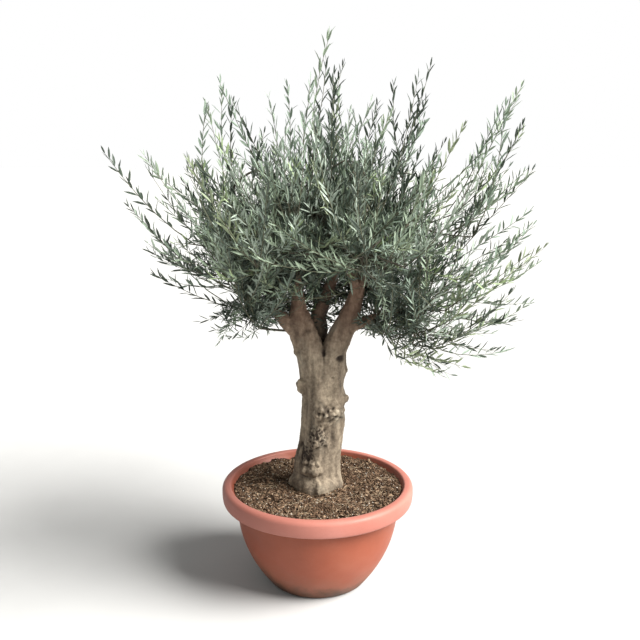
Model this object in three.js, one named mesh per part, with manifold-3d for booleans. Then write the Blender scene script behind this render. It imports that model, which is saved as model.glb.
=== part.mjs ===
// A potted olive tree: a short, thick, burled trunk that forks into boughs, a broad open crown of
// foliage masses with long wands of leaves at its edge, and a round plastic planter full of soil.
// Millimetres, +Z up. The origin is the centre of the planter's flat underside, +X is the side
// that the crown droops lowest on, and -Y is the front.

import * as THREE from 'three';
import { mergeVertices } from 'three/addons/utils/BufferGeometryUtils.js';
import Module from 'manifold-3d';

const wasm = await Module();
wasm.setup();

// Driving dimensions ---------------------------------------------------------------------------

const CLEARANCE = 0.3;
const CUT_MARGIN = 1.5 * CLEARANCE;

const PLANTER = {
  height: 376,
  rimRadius: 350,
  lipBottom: 314,
  lipRound: 12,
  rimRound: 17,
  mouthRound: 8,
  bodyRadius: 297,
  footRadius: 178,
  footBevel: 6,
  bowlPower: 2.2,
  mouthRadius: 316,
  wall: 7,
  floor: 12,
  sides: 30,
};

const SOIL = { edgeHeight: 347, crownHeight: 354.7, crownRadius: 150 };

const TRUNK = {
  foot: SOIL.crownHeight + CLEARANCE,
  forkHeight: 868,
  forkDome: 14,
  waistRadius: 76,
  flare: 36,
  flareHeight: 90,
  shoulder: 15,
  shoulderFrom: 690,
  footX: -16,
  leanX: 33,
  leanHeight: 245,
  centreY: 10,
  depthRatio: 0.83,
  fluteDepth: 0.045,
};

// Burls and pruning knots: height, azimuth from +X in degrees, how far they stand out, their spread.
const BURLS = [
  { height: 640, azimuth: 279, reach: 34, spread: 34 },
  { height: 546, azimuth: 250, reach: 25, spread: 28 },
  { height: 793, azimuth: 354, reach: 17, spread: 24 },
  { height: 691, azimuth: 356, reach: 22, spread: 26 },
  { height: 612, azimuth: 352, reach: 12, spread: 26 },
  { height: 744, azimuth: 186, reach: 12, spread: 24 },
  { height: 455, azimuth: 205, reach: 9, spread: 36 },
];

// Each limb is one taper through [x, y, z, radius]. It starts inside what carries it.
const LIMBS = {
  bough_left: [
    [-26, 8, 800, 46],
    [-42, 4, 876, 43],
    [-65, 0, 952, 42],
    [-66, 0, 1025, 29],
    [-72, 4, 1110, 19],
    [-84, 10, 1225, 13],
  ],
  bough_right: [
    [44, 2, 800, 50],
    [60, -4, 876, 47],
    [88, -10, 945, 44],
    [118, -12, 1020, 35],
    [142, -6, 1100, 24],
    [178, 2, 1225, 12],
  ],
  bough_middle: [
    [6, 44, 810, 38],
    [2, 60, 905, 33],
    [4, 66, 1000, 28],
    [44, 62, 1090, 21],
    [94, 52, 1235, 13],
  ],
  bough_left_side: [
    [-66, -2, 930, 27],
    [-112, -10, 985, 21],
    [-168, -18, 1035, 15],
    [-236, -22, 1080, 10],
  ],
  bough_right_side: [
    [92, -8, 945, 24],
    [150, -14, 978, 18],
    [214, -16, 1000, 13],
    [290, -14, 1020, 9],
  ],
  bough_back: [
    [10, 62, 930, 26],
    [6, 118, 1010, 21],
    [-6, 176, 1090, 15],
    [-20, 226, 1165, 11],
  ],
  bough_back_right: [
    [112, 2, 1010, 24],
    [156, 62, 1070, 18],
    [190, 118, 1120, 14],
    [220, 176, 1175, 10],
  ],
  bough_front: [
    [138, -12, 1085, 18],
    [120, -66, 1150, 15],
    [96, -130, 1205, 12],
    [84, -190, 1265, 9],
  ],
};

const TRUNK_FACETS = { sides: 24, steps: 15 };
const LIMB_FACETS = { sides: 8, steps: 6 };

const COMPASS = ['right', 'back_right', 'back_left', 'left', 'front_left', 'front_right'];

// The crown in three rings of six foliage masses. One value per compass direction: the height of
// the mass's heart, its distance from the trunk's axis and its bulk, which scales the ring's size.
// size is outward, across and up. rise is how far above its heart a mass's wands end.
const CROWN_RINGS = [
  {
    ring: 'low',
    height: [1030, 1120, 1120, 1065, 1295, 1285],
    distance: [405, 380, 360, 275, 340, 350],
    bulk: [1.05, 1, 1, 0.72, 0.9, 0.9],
    size: [240, 215, 160],
    rise: [-140, 90],
    wands: 3,
    seed: 11,
  },
  {
    ring: 'mid',
    height: [1350, 1390, 1400, 1345, 1420, 1410],
    distance: [430, 410, 400, 390, 380, 390],
    bulk: [1.05, 1, 1, 0.95, 0.9, 0.9],
    size: [245, 230, 190],
    rise: [-40, 200],
    wands: 3,
    seed: 29,
  },
  {
    ring: 'high',
    height: [1550, 1550, 1550, 1545, 1545, 1545],
    distance: [250, 250, 240, 240, 210, 220],
    bulk: [1, 1, 1, 1, 1, 1],
    size: [190, 180, 135],
    rise: [110, 290],
    wands: 2,
    seed: 47,
  },
];

// The masses outside the rings: the crown's top, the dense heart that the boughs enter, and two
// slender sprays that hang low and alone. slope tips a mass's outer end up, in degrees.
const OTHER_MASSES = [
  { name: 'foliage_crest', heart: [40, 10, 1640], size: [120, 130, 110], slope: 0, seed: 61 },
  { name: 'foliage_heart', heart: [20, 5, 1400], size: [230, 235, 215], slope: 0, seed: 67 },
  { name: 'foliage_spray_left', heart: [-425, 0, 1065], size: [135, 70, 40], slope: -25, seed: 71 },
];

// How far the wands reach from the axis at each height, [height, reach].
const CROWN_OUTLINE = [
  [760, 450],
  [860, 610],
  [1030, 700],
  [1350, 730],
  [1600, 715],
  [1760, 590],
  [1870, 330],
  [1990, 60],
];

// The wands that give the crown its outline to the left and right and at the top, [x, z].
const OUTLINE_WANDS = {
  foliage_low_right: [[759, 1029], [661, 857], [538, 794], [450, 756], [200, 890]],
  foliage_mid_right: [[777, 1207], [762, 1346], [753, 1502], [723, 1675], [677, 1798]],
  foliage_high_right: [[387, 1885], [532, 1668]],
  foliage_crest: [[43, 1989], [95, 1894], [-50, 1837]],
  foliage_high_left: [[-332, 1831], [-400, 1740], [-150, 1779]],
  foliage_mid_left: [[-762, 1583], [-620, 1576], [-698, 1380], [-573, 1252]],
  foliage_low_left: [[-407, 992], [-312, 949], [-178, 938]],
  foliage_spray_left: [[-566, 1154], [-480, 1120]],
};

const WAND_FAN = THREE.MathUtils.degToRad(52);
const WAND_SWAY = 60;
const OUTLINE_DETAIL = 3;
const PLAIN_DETAIL = 2;
const LUMPS = { count: 8, dip: -0.16, swell: 0.22, sharpness: 5 };
const UPWARDS = new THREE.Vector3(0, 0, 1);
const SIDEWAYS = new THREE.Vector3(0, 1, 0);

const MATERIALS = {
  planter: new THREE.MeshStandardMaterial({ color: 0xc77460, roughness: 0.55, metalness: 0 }),
  soil: new THREE.MeshStandardMaterial({ color: 0x4d3d31, roughness: 1, metalness: 0 }),
  bark: new THREE.MeshStandardMaterial({ color: 0x8f7c69, roughness: 0.95, metalness: 0 }),
  low: new THREE.MeshStandardMaterial({ color: 0x66755a, roughness: 0.8, metalness: 0 }),
  mid: new THREE.MeshStandardMaterial({ color: 0x6c7e6a, roughness: 0.8, metalness: 0 }),
  high: new THREE.MeshStandardMaterial({ color: 0x788a76, roughness: 0.8, metalness: 0 }),
};

const tree = new THREE.Group();

// Helpers --------------------------------------------------------------------------------------

function addMesh(name, geometry, material) {
  const mesh = new THREE.Mesh(geometry, material.clone());
  mesh.name = name;
  tree.add(mesh);
  return mesh;
}

// A geometry with only positions, whose shared vertices are one.
function welded(geometry) {
  geometry.deleteAttribute('normal');
  geometry.deleteAttribute('uv');
  return mergeVertices(geometry);
}

function toSolid(geometry) {
  const vertProperties = new Float32Array(geometry.attributes.position.array);
  const triVerts = new Uint32Array(geometry.index.array);
  return new wasm.Manifold(new wasm.Mesh({ numProp: 3, vertProperties, triVerts }));
}

function fromSolid(solid) {
  const cut = solid.getMesh();
  const geometry = new THREE.BufferGeometry();
  geometry.setAttribute('position', new THREE.Float32BufferAttribute(cut.vertProperties, 3));
  geometry.setIndex([...cut.triVerts]);
  return geometry;
}

// The same random numbers on every run, from 0 to 1.
function seededRandom(seed) {
  let state = seed * 7919;
  return () => {
    state = (state + 0x6d2b79f5) | 0;
    let mixed = Math.imul(state ^ (state >>> 15), 1 | state);
    mixed = (mixed + Math.imul(mixed ^ (mixed >>> 7), 61 | mixed)) ^ mixed;
    return ((mixed ^ (mixed >>> 14)) >>> 0) / 4294967296;
  };
}

function between(random, low, high) {
  return low + (high - low) * random();
}

// Moves every vertex of a geometry by a function of its position.
function reshape(geometry, move) {
  const position = geometry.attributes.position;
  const vertex = new THREE.Vector3();
  for (let i = 0; i < position.count; i += 1) {
    vertex.fromBufferAttribute(position, i);
    move(vertex);
    position.setXYZ(i, vertex.x, vertex.y, vertex.z);
  }
  return geometry;
}

// Planter and soil -----------------------------------------------------------------------------

// Outer radius of the bowl: it swells fast above the foot and is nearly upright under the lip.
function bowlRadius(height) {
  const up = THREE.MathUtils.clamp(height / PLANTER.lipBottom, 0, 1);
  const swell = 1 - (1 - up) ** PLANTER.bowlPower;
  return PLANTER.footRadius + (PLANTER.bodyRadius - PLANTER.footRadius) * swell;
}

// Inner radius of the wall: the bowl's own up to the lip, then it opens out to the mouth.
function innerRadius(height) {
  if (height <= PLANTER.lipBottom) return bowlRadius(height) - PLANTER.wall;
  const opening = (height - PLANTER.lipBottom) / (PLANTER.height - PLANTER.lipBottom);
  const wallTop = bowlRadius(PLANTER.lipBottom) - PLANTER.wall;
  return THREE.MathUtils.lerp(wallTop, PLANTER.mouthRadius, opening);
}

function levels(from, to, steps) {
  return Array.from({ length: steps + 1 }, (_, i) => from + ((to - from) * i) / steps);
}

// Heights at which the inner wall turns a corner, from the floor up to the soil's edge.
const BURIED_LEVELS = [...levels(PLANTER.floor, PLANTER.lipBottom, 4), SOIL.edgeHeight];

// Points [radius, height] on a quarter round from one angle to another, in degrees.
function round(radius, height, size, from, to, steps) {
  return levels(from, to, steps).map((degrees) => {
    const angle = THREE.MathUtils.degToRad(degrees);
    return [radius + size * Math.cos(angle), height + size * Math.sin(angle)];
  });
}

// A closed solid turned about +Z from a profile of [radius, height] points.
function turned(profile) {
  const points = profile.map(([radius, height]) => new THREE.Vector2(radius, height));
  return new THREE.LatheGeometry(points, PLANTER.sides).rotateX(Math.PI / 2);
}

function buildPlanter() {
  const { height, rimRadius, mouthRadius, lipBottom, lipRound, rimRound, mouthRound } = PLANTER;
  const { footRadius, footBevel, floor } = PLANTER;
  const outside = levels(footBevel, lipBottom, 6).map((z) => [bowlRadius(z), z]);
  const lip = [
    ...round(rimRadius - lipRound, lipBottom + lipRound, lipRound, -90, 0, 2),
    ...round(rimRadius - rimRound, height - rimRound, rimRound, 0, 90, 3),
    ...round(mouthRadius + mouthRound, height - mouthRound, mouthRound, 90, 180, 2),
  ];
  const inside = [...BURIED_LEVELS].reverse().map((z) => [innerRadius(z), z]);
  const profile = [[0, 0], [footRadius - footBevel, 0], ...outside, ...lip, ...inside, [0, floor]];
  addMesh('pot', turned(profile), MATERIALS.planter);
}

function buildSoil() {
  const base = PLANTER.floor + CLEARANCE;
  const side = BURIED_LEVELS.map((z) => [innerRadius(z) - 2 * CLEARANCE, Math.max(z, base)]);
  const profile = [[0, base], ...side, [SOIL.crownRadius, SOIL.crownHeight], [0, SOIL.crownHeight]];
  addMesh('soil', turned(profile), MATERIALS.soil);
}

// Trunk and boughs -----------------------------------------------------------------------------

function trunkCentreX(height) {
  const up = THREE.MathUtils.smoothstep(height, TRUNK.foot, TRUNK.foot + TRUNK.leanHeight);
  return TRUNK.footX + TRUNK.leanX * up;
}

function trunkRadius(height, azimuth) {
  const flare = TRUNK.flare * Math.exp((TRUNK.foot - height) / TRUNK.flareHeight);
  const shoulder = THREE.MathUtils.smoothstep(height, TRUNK.shoulderFrom, TRUNK.forkHeight);
  const flutes = Math.cos(5 * azimuth + height / 190) + 0.6 * Math.cos(3 * azimuth - height / 260);
  const smooth = TRUNK.waistRadius + flare + TRUNK.shoulder * shoulder;
  const burls = BURLS.map((burl) => {
    const turn = azimuth - THREE.MathUtils.degToRad(burl.azimuth);
    const across = smooth * Math.atan2(Math.sin(turn), Math.cos(turn));
    const away = Math.hypot(across, height - burl.height) / burl.spread;
    return burl.reach * Math.exp(-away * away);
  });
  return smooth * (1 + TRUNK.fluteDepth * flutes) + burls.reduce((sum, one) => sum + one, 0);
}

// The trunk, with its surface grown outward by margin.
function trunkGeometry(margin) {
  const tall = TRUNK.forkHeight - TRUNK.foot;
  const { sides, steps } = TRUNK_FACETS;
  const cylinder = welded(new THREE.CylinderGeometry(1, 1, 1, sides, steps)).rotateX(Math.PI / 2);
  return reshape(cylinder, (vertex) => {
    const height = TRUNK.foot + (vertex.z + 0.5) * tall;
    const inner = Math.hypot(vertex.x, vertex.y);
    const azimuth = Math.atan2(vertex.y, vertex.x);
    const radius = inner * (trunkRadius(height, azimuth) + margin);
    const dome = vertex.z === 0.5 ? TRUNK.forkDome * (1 - inner) + margin : 0;
    vertex.x = trunkCentreX(height) + radius * Math.cos(azimuth);
    vertex.y = TRUNK.centreY + TRUNK.depthRatio * radius * Math.sin(azimuth);
    vertex.z = height + dome;
  });
}

// One tapering limb through [x, y, z, radius] stations, with its surface grown by margin.
function limbGeometry(stations, margin) {
  const { sides, steps } = LIMB_FACETS;
  const path = new THREE.CatmullRomCurve3(stations.map(([x, y, z]) => new THREE.Vector3(x, y, z)));
  const { normals, binormals, tangents } = path.computeFrenetFrames(steps);
  const cylinder = welded(new THREE.CylinderGeometry(1, 1, 1, sides, steps));
  return reshape(cylinder, (vertex) => {
    const along = vertex.y + 0.5;
    const ring = Math.round(along * steps);
    const place = along * (stations.length - 1);
    const station = Math.min(Math.floor(place), stations.length - 2);
    const taper = THREE.MathUtils.lerp(stations[station][3], stations[station + 1][3], place - station);
    const across = normals[ring].clone().multiplyScalar(vertex.x * (taper + margin));
    const over = binormals[ring].clone().multiplyScalar(-vertex.z * (taper + margin));
    const end = tangents[ring].clone().multiplyScalar(ring === steps ? margin : 0);
    vertex.copy(path.getPoint(along)).add(across).add(over).add(end);
  });
}

// Every limb butts on the trunk and on the limbs made before it.
function buildTimber() {
  const grown = [toSolid(trunkGeometry(CUT_MARGIN))];
  addMesh('trunk', trunkGeometry(0), MATERIALS.bark);
  for (const [name, stations] of Object.entries(LIMBS)) {
    const whole = toSolid(limbGeometry(stations, 0));
    const butted = grown.reduce((limb, carrier) => limb.subtract(carrier), whole);
    addMesh(name, fromSolid(largestPiece(butted)), MATERIALS.bark);
    grown.push(toSolid(limbGeometry(stations, CUT_MARGIN)));
  }
  return grown;
}

function largestPiece(solid) {
  const pieces = solid.decompose();
  return pieces.reduce((best, piece) => (piece.volume() > best.volume() ? piece : best));
}

// Foliage --------------------------------------------------------------------------------------

function crownReach(height) {
  const last = CROWN_OUTLINE.length - 1;
  const above = CROWN_OUTLINE.findIndex(([level]) => level >= height);
  const upper = above < 0 ? last : Math.max(above, 1);
  const [lowLevel, lowReach] = CROWN_OUTLINE[upper - 1];
  const [highLevel, highReach] = CROWN_OUTLINE[upper];
  const share = THREE.MathUtils.clamp((height - lowLevel) / (highLevel - lowLevel), 0, 1);
  return THREE.MathUtils.lerp(lowReach, highReach, share);
}

// Tips of the wands of a mass: those of the outline, or a fan of them out to the crown's reach.
function wandTips(name, azimuth, height, { wands, rise }, random) {
  if (OUTLINE_WANDS[name]) {
    const sway = () => between(random, -WAND_SWAY, WAND_SWAY);
    return OUTLINE_WANDS[name].map(([x, z]) => new THREE.Vector3(x, sway(), z));
  }
  return Array.from({ length: wands }, (_, i) => {
    const turn = azimuth + WAND_FAN * (i / (wands - 1) - 0.5) + between(random, -0.1, 0.1);
    const level = height + between(random, rise[0], rise[1]);
    const reach = crownReach(level) * between(random, 0.88, 1);
    return new THREE.Vector3(reach * Math.cos(turn), reach * Math.sin(turn), level);
  });
}

// An uneven ball about its heart, with the vertex that faces each wand's tip drawn out to it.
function massGeometry({ heart, size, azimuth, slope, tips, random, detail }) {
  const lumps = Array.from({ length: LUMPS.count }, () => {
    const lift = between(random, -1, 1);
    const turn = between(random, 0, 2 * Math.PI);
    const level = Math.sqrt(1 - lift * lift);
    const towards = new THREE.Vector3(level * Math.cos(turn), level * Math.sin(turn), lift);
    return { towards, height: between(random, LUMPS.dip, LUMPS.swell) };
  });
  const centre = new THREE.Vector3(...heart);
  const ball = welded(new THREE.IcosahedronGeometry(1, detail));
  reshape(ball, (vertex) => {
    const swell = lumps.reduce((sum, lump) => {
      const apart = 1 - vertex.dot(lump.towards);
      return sum + lump.height * Math.exp(-LUMPS.sharpness * apart);
    }, 1);
    vertex.set(vertex.x * size[0], vertex.y * size[1], vertex.z * size[2]).multiplyScalar(swell);
    vertex.applyAxisAngle(SIDEWAYS, -slope).applyAxisAngle(UPWARDS, azimuth).add(centre);
  });
  for (const tip of tips) drawOut(ball, centre, tip);
  return ball;
}

function drawOut(ball, centre, tip) {
  const position = ball.attributes.position;
  const aim = tip.clone().sub(centre).normalize();
  const vertex = new THREE.Vector3();
  let nearest = 0;
  let closest = -1;
  for (let i = 0; i < position.count; i += 1) {
    const facing = vertex.fromBufferAttribute(position, i).sub(centre).normalize().dot(aim);
    if (facing > closest) {
      closest = facing;
      nearest = i;
    }
  }
  position.setXYZ(nearest, tip.x, tip.y, tip.z);
}

function listMasses() {
  const ringMasses = CROWN_RINGS.flatMap((shape) =>
    COMPASS.map((side, i) => {
      const name = `foliage_${shape.ring}_${side}`;
      const azimuth = (i * Math.PI) / 3;
      const random = seededRandom(shape.seed + i);
      const distance = shape.distance[i];
      const heart = [distance * Math.cos(azimuth), distance * Math.sin(azimuth), shape.height[i]];
      const size = shape.size.map((half) => half * shape.bulk[i]);
      const tips = wandTips(name, azimuth, shape.height[i], shape, random);
      const detail = OUTLINE_WANDS[name] ? OUTLINE_DETAIL : PLAIN_DETAIL;
      return { name, heart, size, azimuth, slope: 0, tips, random, detail, colour: shape.ring };
    }),
  );
  const otherMasses = OTHER_MASSES.map(({ name, heart, size, slope, seed }) => {
    const random = seededRandom(seed);
    const tips = OUTLINE_WANDS[name] ? wandTips(name, 0, heart[2], {}, random) : [];
    const detail = tips.length > 0 ? OUTLINE_DETAIL : PLAIN_DETAIL;
    const lean = THREE.MathUtils.degToRad(slope);
    return { name, heart, size, azimuth: 0, slope: lean, tips, random, detail, colour: 'mid' };
  });
  return [...ringMasses, ...otherMasses];
}

// Keeps the part of a mass on its own side of the plane that stands between it and a neighbour.
function trimmed(solid, own, other) {
  const ownHeart = new THREE.Vector3(...own.heart);
  const otherHeart = new THREE.Vector3(...other.heart);
  const share = own.size[0] / (own.size[0] + other.size[0]);
  const middle = ownHeart.clone().lerp(otherHeart, share);
  const facing = ownHeart.clone().sub(otherHeart).normalize();
  return solid.trimByPlane(facing.toArray(), middle.dot(facing) + CLEARANCE / 2);
}

function boxesMeet(one, other) {
  return [0, 1, 2].every((axis) => one.min[axis] < other.max[axis] && other.min[axis] < one.max[axis]);
}

function buildFoliage(timber) {
  const masses = listMasses();
  const whole = masses.map((mass) => toSolid(massGeometry(mass)));
  const boxes = whole.map((solid) => solid.boundingBox());
  masses.forEach((mass, i) => {
    let solid = whole[i];
    masses.forEach((other, j) => {
      if (i !== j && boxesMeet(boxes[i], boxes[j])) solid = trimmed(solid, mass, other);
    });
    for (const limb of timber) solid = solid.subtract(limb);
    addMesh(mass.name, fromSolid(largestPiece(solid)), MATERIALS[mass.colour]);
  });
}

buildPlanter();
buildSoil();
buildFoliage(buildTimber());

export default tree;
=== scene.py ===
"""A potted olive tree: a bowl planter in terracotta-coloured plastic, full of soil, a short burled
trunk that forks into boughs, and a broad open crown of branches, leafy shoots and narrow leaves.
Metres, +Z up. The origin is under the middle of the planter, and its front faces -Y."""

import math

import bmesh
import bpy
import numpy as np
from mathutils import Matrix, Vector
from mathutils.bvhtree import BVHTree


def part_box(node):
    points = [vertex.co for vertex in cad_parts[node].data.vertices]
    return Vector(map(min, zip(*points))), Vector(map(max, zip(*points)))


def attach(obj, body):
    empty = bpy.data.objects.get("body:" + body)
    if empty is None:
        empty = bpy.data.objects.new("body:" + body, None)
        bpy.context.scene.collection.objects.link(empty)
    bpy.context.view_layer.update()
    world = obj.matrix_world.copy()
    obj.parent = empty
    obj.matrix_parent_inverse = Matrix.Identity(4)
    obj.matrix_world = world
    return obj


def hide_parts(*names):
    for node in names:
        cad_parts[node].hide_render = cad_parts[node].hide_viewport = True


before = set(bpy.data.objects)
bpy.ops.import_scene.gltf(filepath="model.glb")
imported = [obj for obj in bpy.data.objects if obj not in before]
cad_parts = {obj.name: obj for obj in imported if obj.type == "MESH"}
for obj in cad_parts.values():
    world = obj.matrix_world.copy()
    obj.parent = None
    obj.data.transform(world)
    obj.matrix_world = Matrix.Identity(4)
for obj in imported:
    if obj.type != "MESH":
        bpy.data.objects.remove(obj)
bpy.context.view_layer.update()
bpy.ops.object.select_all(action="DESELECT")


# The planter --------------------------------------------------
# A bowl planter moulded in one piece from matte terracotta-coloured plastic, about 7 mm thick, with
# a broad rolled lip whose skirt hangs clear of the bowl. It stands on a ring round its underside.

POT_SIDES = 144
POT_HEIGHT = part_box("pot")[1].z
RIM_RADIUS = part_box("pot")[1].y
LIP_DEPTH = 0.062
LIP_BOTTOM = POT_HEIGHT - LIP_DEPTH
BODY_RADIUS = RIM_RADIUS - 0.053
FOOT_RADIUS = 0.178
BOWL_POWER = 2.2
MOUTH_RADIUS = RIM_RADIUS - 0.034
WALL = 0.007
FLOOR_THICKNESS = 0.012
SKIRT_ROUNDING, RIM_ROUNDING, MOUTH_ROUNDING = 0.0105, 0.017, 0.008


def bowl_radius(height):
    """Outer radius of the bowl: it swells fast above the foot and is nearly upright under the lip."""
    up = min(max(height / LIP_BOTTOM, 0), 1)
    return FOOT_RADIUS + (BODY_RADIUS - FOOT_RADIUS) * (1 - (1 - up) ** BOWL_POWER)


def wall_radius(height):
    """Inner radius of the wall: the bowl's own up to the lip, then it opens out to the mouth."""
    if height <= LIP_BOTTOM:
        return bowl_radius(height) - WALL
    opening = (height - LIP_BOTTOM) / LIP_DEPTH
    return (BODY_RADIUS - WALL) * (1 - opening) + MOUTH_RADIUS * opening


def rounding(radius, height, size, start, end, steps):
    """Profile points (radius, height) on an arc from one angle to another, in degrees."""
    angles = [math.radians(a) for a in np.linspace(start, end, steps + 1)]
    return [(radius + size * math.cos(a), height + size * math.sin(a)) for a in angles]


def turned(name, profile, sides):
    """A closed round piece: a ring of edges, extruded and scaled through each point of a profile."""
    radius, height = profile[0]
    bpy.ops.mesh.primitive_circle_add(
        vertices=sides, radius=radius, location=(0, 0, height), fill_type="NGON"
    )
    piece = bpy.context.object
    piece.name = name
    bpy.ops.object.transform_apply(location=True, rotation=True, scale=True)
    bpy.ops.object.mode_set(mode="EDIT")
    bpy.ops.mesh.select_mode(type="EDGE")
    bpy.ops.mesh.select_all(action="SELECT")
    bpy.ops.mesh.region_to_loop()
    for next_radius, next_height in profile[1:]:
        rise = (0, 0, next_height - height)
        bpy.ops.mesh.extrude_edges_move(TRANSFORM_OT_translate={"value": rise})
        spread = next_radius / radius
        bpy.ops.transform.resize(value=(spread, spread, 1), center_override=(0, 0, next_height))
        radius, height = next_radius, next_height
    bpy.ops.mesh.edge_face_add()
    bpy.ops.mesh.select_all(action="SELECT")
    bpy.ops.mesh.normals_make_consistent(inside=False)
    bpy.ops.object.mode_set(mode="OBJECT")
    return piece


foot = [(0.15, 0.003), (0.156, 0.003), (0.16, 0), (0.172, 0), (0.1765, 0.0018)]
bowl = [(bowl_radius(z), z) for z in np.linspace(0.006, LIP_BOTTOM - 0.004, 22)]
behind_skirt = [
    (BODY_RADIUS, LIP_BOTTOM + 0.006),
    (BODY_RADIUS + 0.0004, LIP_BOTTOM + 0.02),
    (BODY_RADIUS + 0.004, LIP_BOTTOM + 0.025),
    (RIM_RADIUS - 0.022, LIP_BOTTOM + 0.025),
    (RIM_RADIUS - 0.018, LIP_BOTTOM + 0.02),
    (RIM_RADIUS - 0.0155, LIP_BOTTOM + 0.0015),
]
lip = [
    *rounding(RIM_RADIUS - 0.0125, LIP_BOTTOM + SKIRT_ROUNDING, SKIRT_ROUNDING, -90, -12, 6),
    (RIM_RADIUS - 0.0008, LIP_BOTTOM + 0.018),
    (RIM_RADIUS, LIP_BOTTOM + 0.03),
    *rounding(RIM_RADIUS - RIM_ROUNDING, POT_HEIGHT - RIM_ROUNDING, RIM_ROUNDING, 6, 90, 8),
    *rounding(MOUTH_RADIUS + MOUTH_ROUNDING, POT_HEIGHT - MOUTH_ROUNDING, MOUTH_ROUNDING, 90, 180, 6),
]
inner_wall = [(wall_radius(z), z) for z in np.linspace(POT_HEIGHT - 0.018, FLOOR_THICKNESS, 14)]
pot = turned("planter_bowl", [*foot, *bowl, *behind_skirt, *lip, *inner_wall], POT_SIDES)
bpy.ops.object.shade_smooth_by_angle(angle=math.radians(32))


# The Mix node's sockets for colours, which share their names with those for numbers and vectors.
MIX_SHARE, MIX_ONE, MIX_OTHER, MIX_RESULT = 0, 6, 7, 2


def linear(red, green, blue):
    """A colour from its usual 0 to 255 values."""
    share = [c / 255 for c in (red, green, blue)]
    return (*[c / 12.92 if c < 0.04045 else ((c + 0.055) / 1.055) ** 2.4 for c in share], 1)


class Finish:
    """A material made of nodes round one shader, for a piece's own pattern and relief."""

    def __init__(self, name, roughness, specular=0.5):
        self.material = bpy.data.materials.new(name)
        self.material.use_nodes = True
        self.tree = self.material.node_tree
        self.shader = self.tree.nodes["Principled BSDF"]
        self.give("Roughness", roughness)
        self.give("Specular IOR Level", specular)
        self.place = self.node("TexCoord").outputs["Object"]

    def give(self, socket, value, node=None):
        """Sets a socket of the shader, or of another node, to a value or to another node's output."""
        socket = (node or self.shader).inputs[socket]
        if isinstance(value, bpy.types.NodeSocket):
            self.tree.links.new(value, socket)
        else:
            socket.default_value = value

    def node(self, kind, inputs=(), **settings):
        node = self.tree.nodes.new("ShaderNode" + kind)
        for name, value in settings.items():
            setattr(node, name, value)
        for socket, value in dict(inputs).items():
            self.give(socket, value, node)
        return node

    def stretched(self, scale):
        return self.node("Mapping", {"Scale": scale, "Vector": self.place}).outputs["Vector"]

    def noise(self, scale, detail=3, rough=0.5, place=None):
        inputs = {"Scale": scale, "Detail": detail, "Roughness": rough, "Vector": place or self.place}
        return self.node("TexNoise", inputs).outputs["Fac"]

    def along(self, axis):
        return self.node("SeparateXYZ", {"Vector": self.place}).outputs[axis]

    def outwards(self):
        flat = self.node("VectorMath", {0: self.place, 1: (1, 1, 0)}, operation="MULTIPLY")
        return self.node("VectorMath", {0: flat.outputs["Vector"]}, operation="LENGTH").outputs["Value"]

    def attribute(self, name):
        return self.node("Attribute", attribute_name=name).outputs["Fac"]

    def span(self, value, low, high, to_low=0.0, to_high=1.0):
        inputs = {"Value": value, "From Min": low, "From Max": high, "To Min": to_low, "To Max": to_high}
        return self.node("MapRange", inputs).outputs["Result"]

    def maths(self, one, other, operation="ADD"):
        return self.node("Math", {0: one, 1: other}, operation=operation).outputs["Value"]

    def times(self, one, other):
        return self.maths(one, other, "MULTIPLY")

    def ramp(self, value, *stops):
        """Colours along a value. Each stop is its position, then red, green and blue up to 255."""
        node = self.node("ValToRGB", {"Fac": value})
        elements = node.color_ramp.elements
        while len(elements) < len(stops):
            elements.new(1)
        for element, (position, *colour) in zip(elements, stops):
            element.position = position
            element.color = linear(*colour)
        return node.outputs["Color"]

    def mixed(self, share, one, other, blend="MIX"):
        sockets = {MIX_SHARE: share, MIX_ONE: one, MIX_OTHER: other}
        return self.node("Mix", sockets, data_type="RGBA", blend_type=blend).outputs[MIX_RESULT]

    def bump(self, value, distance, strength=1.0):
        inputs = {"Height": value, "Distance": distance, "Strength": strength}
        self.give("Normal", self.node("Bump", inputs).outputs["Normal"])


def speckled(name, roughness, specular, noise, stops, relief=None):
    """A finish with one ramp over one noise, and the scale, detail and depth of its relief."""
    finish = Finish(name, roughness, specular)
    finish.give("Base Color", finish.ramp(finish.noise(*noise), *stops))
    if relief:
        *fine, depth = relief
        finish.bump(finish.noise(*fine), depth)
    return finish.material


def finished(piece, materials, replaced=()):
    """Gives a piece its materials and its place on the plant's one body."""
    for material in materials:
        piece.data.materials.append(material)
    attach(piece, "root")
    if replaced:
        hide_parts(*replaced)


plastic = Finish("terracotta_plastic", roughness=0.5, specular=0.3)
height = plastic.along("Z")
weathering = plastic.noise(5, 4)
body_colour = plastic.ramp(weathering, (0.3, 137, 72, 51), (0.55, 150, 80, 58), (0.75, 158, 90, 68))
rim_colour = plastic.ramp(weathering, (0.3, 167, 104, 91), (0.6, 177, 114, 101), (0.8, 186, 126, 115))
# The lip is lighter and pinker on its outside only. Inside the mouth the inner wall keeps the darker body
# colour as painted shade.
lip_share = plastic.span(height, LIP_BOTTOM - 0.006, LIP_BOTTOM + 0.004)
outer_share = plastic.span(plastic.outwards(), MOUTH_RADIUS - 0.003, MOUTH_RADIUS + 0.006)
lip_lighter_mouth_shaded = plastic.mixed(plastic.times(lip_share, outer_share), body_colour, rim_colour)
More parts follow.
